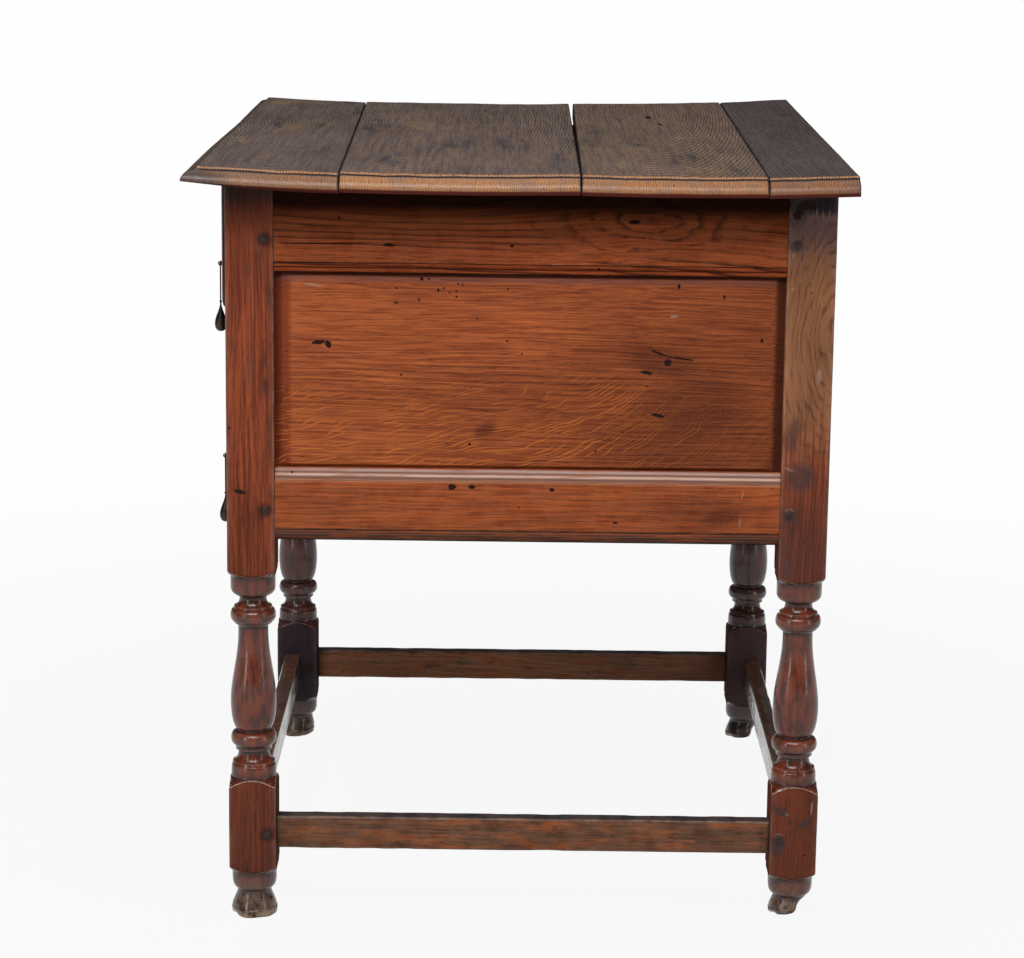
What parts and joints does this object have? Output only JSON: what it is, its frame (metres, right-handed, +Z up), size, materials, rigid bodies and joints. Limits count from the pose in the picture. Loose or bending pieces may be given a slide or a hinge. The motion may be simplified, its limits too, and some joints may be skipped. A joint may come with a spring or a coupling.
{
  "type": "side table",
  "caption": "Joined oak side table with turned legs, box stretchers, panelled ends, a moulded plank top and drawers pulled by hanging drops.",
  "frame": {"origin": "on the floor under the middle of the top's outline", "axes": "+X along the table's length towards the end that the picture shows, +Y from the drawers to the back, +Z up"},
  "size_m": [0.785, 0.6088, 0.736],
  "materials": {
    "case_oak": "waxed red-brown oak",
    "leg_oak": "dark polished oak",
    "top_oak": "dark weathered oak",
    "inner_oak": "dry unpolished oak",
    "peg_oak": "dark end grain",
    "drop_brass": "dark patina"
  },
  "bodies": {
    "carcass": {"leg_front_right": "leg_oak", "leg_front_left": "leg_oak", "leg_back_right": "leg_oak", "leg_back_left": "leg_oak", "top_board_front": "top_oak", "top_board_second": "top_oak", "top_board_third": "top_oak", "top_board_back": "top_oak", "right_end_top_rail": "case_oak", "right_end_bottom_rail": "case_oak", "right_end_panel": "case_oak", "left_end_top_rail": "case_oak", "left_end_bottom_rail": "case_oak", "left_end_panel": "case_oak", "back_top_rail": "case_oak", "back_bottom_rail": "case_oak", "back_panel": "case_oak", "drawer_divider_rail": "case_oak", "front_bottom_rail": "case_oak", "right_end_stretcher": "leg_oak", "left_end_stretcher": "leg_oak", "front_stretcher": "leg_oak", "back_stretcher": "leg_oak", "upper_runner_right": "inner_oak", "upper_runner_left": "inner_oak", "lower_runner_right": "inner_oak", "lower_runner_left": "inner_oak", "peg_right_top_front": "peg_oak", "peg_right_top_back": "peg_oak", "peg_right_bottom_front": "peg_oak", "peg_right_bottom_back": "peg_oak", "peg_right_stretcher_front": "peg_oak", "peg_right_stretcher_back": "peg_oak", "peg_left_top_front": "peg_oak", "peg_left_top_back": "peg_oak", "peg_left_bottom_front": "peg_oak", "peg_left_bottom_back": "peg_oak", "peg_left_stretcher_front": "peg_oak", "peg_left_stretcher_back": "peg_oak"},
    "upper_drawer": {"upper_drawer_front": "case_oak", "upper_drawer_side_right": "inner_oak", "upper_drawer_side_left": "inner_oak", "upper_drawer_back": "inner_oak", "upper_drawer_bottom": "inner_oak", "upper_drawer_staple_right": "drop_brass", "upper_drawer_staple_left": "drop_brass"},
    "lower_drawer": {"lower_drawer_front": "case_oak", "lower_drawer_side_right": "inner_oak", "lower_drawer_side_left": "inner_oak", "lower_drawer_back": "inner_oak", "lower_drawer_bottom": "inner_oak", "lower_drawer_staple_right": "drop_brass", "lower_drawer_staple_left": "drop_brass"},
    "upper_drawer_drop_right": {"upper_drawer_drop_right": "drop_brass"},
    "upper_drawer_drop_left": {"upper_drawer_drop_left": "drop_brass"},
    "lower_drawer_drop_right": {"lower_drawer_drop_right": "drop_brass"},
    "lower_drawer_drop_left": {"lower_drawer_drop_left": "drop_brass"}
  },
  "joints": [
    {"name": "upper_drawer_slide", "type": "slide", "parent": "carcass", "child": "upper_drawer", "axis": [0, -1, 0], "range_m": [-0.008, 0.36]},
    {"name": "lower_drawer_slide", "type": "slide", "parent": "carcass", "child": "lower_drawer", "axis": [0, -1, 0], "range_m": [0, 0.36]},
    {"name": "upper_drawer_drop_right_swing", "type": "hinge", "parent": "upper_drawer", "child": "upper_drawer_drop_right", "pos_m": [0.2132, -0.2902, 0.6263], "axis": [-1, 0, 0], "range_deg": [0, 120]},
    {"name": "upper_drawer_drop_left_swing", "type": "hinge", "parent": "upper_drawer", "child": "upper_drawer_drop_left", "pos_m": [-0.2132, -0.2902, 0.6263], "axis": [-1, 0, 0], "range_deg": [0, 120]},
    {"name": "lower_drawer_drop_right_swing", "type": "hinge", "parent": "lower_drawer", "child": "lower_drawer_drop_right", "pos_m": [0.2132, -0.2868, 0.4373], "axis": [-1, 0, 0], "range_deg": [-5, 120]},
    {"name": "lower_drawer_drop_left_swing", "type": "hinge", "parent": "lower_drawer", "child": "lower_drawer_drop_left", "pos_m": [-0.2132, -0.2868, 0.4373], "axis": [-1, 0, 0], "range_deg": [-5, 120]}
  ]
}
